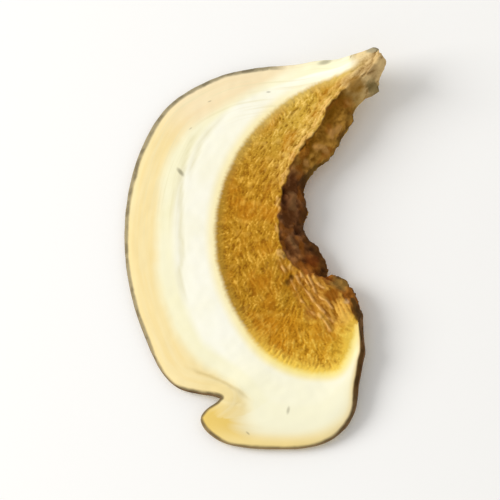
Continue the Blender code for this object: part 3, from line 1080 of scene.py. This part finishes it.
skin = mixed(between("round_rim", 20, 60), TOP_SKIN, LEFT_SKIN)
skin = mixed(between("round_rim", 60, 90), skin, LOBE_SKIN)
skin = mixed(between("round_rim", 102, 110), skin, LOW_SKIN)
skin = mixed(between("round_rim", 10, 8), skin, TIP_SKIN)
# the right side's brown skin with painted shade, as that side faces away from the lamp
skin = mixed(between("round_rim", 112, 117), skin, RIGHT_SKIN_AND_SHADE)
skin = mixed(between(spots(1.6 * MM), 0.42, 0.62, 0, 0.7), skin, mixed(0.55, skin, SKIN_FLECK))
wall_colour = mixed(between(spots(1.2 * MM), 0.35, 0.65), WALL_DARK, WALL_LIGHT)
lobe_wall = times(between("round_rim", 78, 86), between("round_rim", 113, 101, 0, 0.8))
wall_colour = mixed(lobe_wall, wall_colour, LOBE_WALL)
skin = mixed(between("side", 0.35, 1.0, 0, 0.8), skin, wall_colour)
print("skin colour added,", len(tree.nodes), "steps so far")

# %% [markdown]
# ## Where the skin shows
# From above, the skin is a line of about half a millimetre that narrows before the notch and widens on
# the right. Near the tip it has come off for about a centimetre, and only the steepest part of the
# wall keeps it there.

# %% Where the skin shows
wide = calc("ADD", between("round_rim", 64, 78, 0.5, 0.24), between("round_rim", 105, 119, 0, 0.42))
wide = calc("ADD", wide, swing(spots(2.5 * MM), 0.3))
wide = calc("ADD", wide, times(stretch("round_rim", 82, 84, 90, 94), 0.2))
skin_line = between(calc("SUBTRACT", "rim", wide), 0.2, -0.14)
bare = stretch("round_rim", 0.4, 1.0, 11.5, 15)
skin_line = times(skin_line, calc("SUBTRACT", 1.0, bare))
bare_wall = times(bare, between("side", 0.9, 0.4))
wall_skin = times(between("wall", 0.2, 0.6), calc("SUBTRACT", 1.0, bare_wall))
skin_line = calc("MAXIMUM", skin_line, wall_skin)
print("skin has", len(tree.nodes), "steps so far")

# %% [markdown]
# ## Flesh next to tip, tubes and skin
# Where the flesh thins out, it takes some colour from its neighbours: straw at the tip, yellow beside
# the lower tubes, and peach along the skin on the right. A strip of it also shows between the tubes
# and the skin there.

# %% Flesh next to tip, tubes and skin
TIP_STRAW, TIP_CREAM = colour(184, 152, 96), colour(228, 204, 152)
LOW_TUBE_CREAM = colour(252, 232, 140)
STRIP_PEACH = colour(240, 208, 134)
SKIN_PEACH = colour(240, 208, 136)

# straw in the gaps and cream on the tops of the grain: painted shade and highlight over the tip's own
# straw colour
tip_flesh = mixed(between(gold, 0.3, 0.8), TIP_STRAW, TIP_CREAM)
flesh = mixed(between("round_rim", 3.2, 1.4), flesh, tip_flesh)
flesh = mixed(times(between("depth", -1.6, 0.2), low_end), flesh, LOW_TUBE_CREAM)
strip = times(between("rim", 1.4, 0.9), stretch("round_rim", 117, 120, 124, 126))
stained = mixed(strip, stained, STRIP_PEACH)
peach = times(between("rim", 1.4, 0.3), between("round_rim", 106, 118, 0, 0.85))
flesh = mixed(peach, flesh, SKIN_PEACH)
print("neighbours blended,", len(tree.nodes), "steps so far")

# %% [markdown]
# ## The whole finish
# Flesh, tubes, pore face and skin come together in one material, because they grew as one piece. The
# edge between flesh and tubes follows the grain, so that single strokes reach into the flesh. Dried
# mushroom is matt, with hardly any shine.

# %% The whole finish
HOLE_SHADE = colour(52, 24, 6)
MATT = 0.85
SHINE = 0.08

edge_of_tubes = calc("ADD", "depth", swing("grain", 0.3))
whole = mixed(between(edge_of_tubes, -0.4, 0.5), flesh, stained)
whole = mixed("pore", whole, stained)
# painted shade in the holes along the crest
whole = mixed(between("hole", 0.1, 0.9, 0, 0.6), whole, HOLE_SHADE)
whole = mixed(skin_line, whole, skin)
feed(surface.inputs["Base Color"], whole)
surface.inputs["Roughness"].default_value = MATT
surface.inputs["Specular IOR Level"].default_value = SHINE
piece.data.materials.clear()
piece.data.materials.append(finish)
piece.data.polygons.foreach_set("material_index", np.zeros(len(piece.data.polygons), np.int32))
bpy.ops.object.shade_smooth()
print("finish has", len(tree.nodes), "steps")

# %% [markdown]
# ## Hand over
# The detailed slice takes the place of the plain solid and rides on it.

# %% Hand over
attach(piece, "root")
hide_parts("cap_slice")
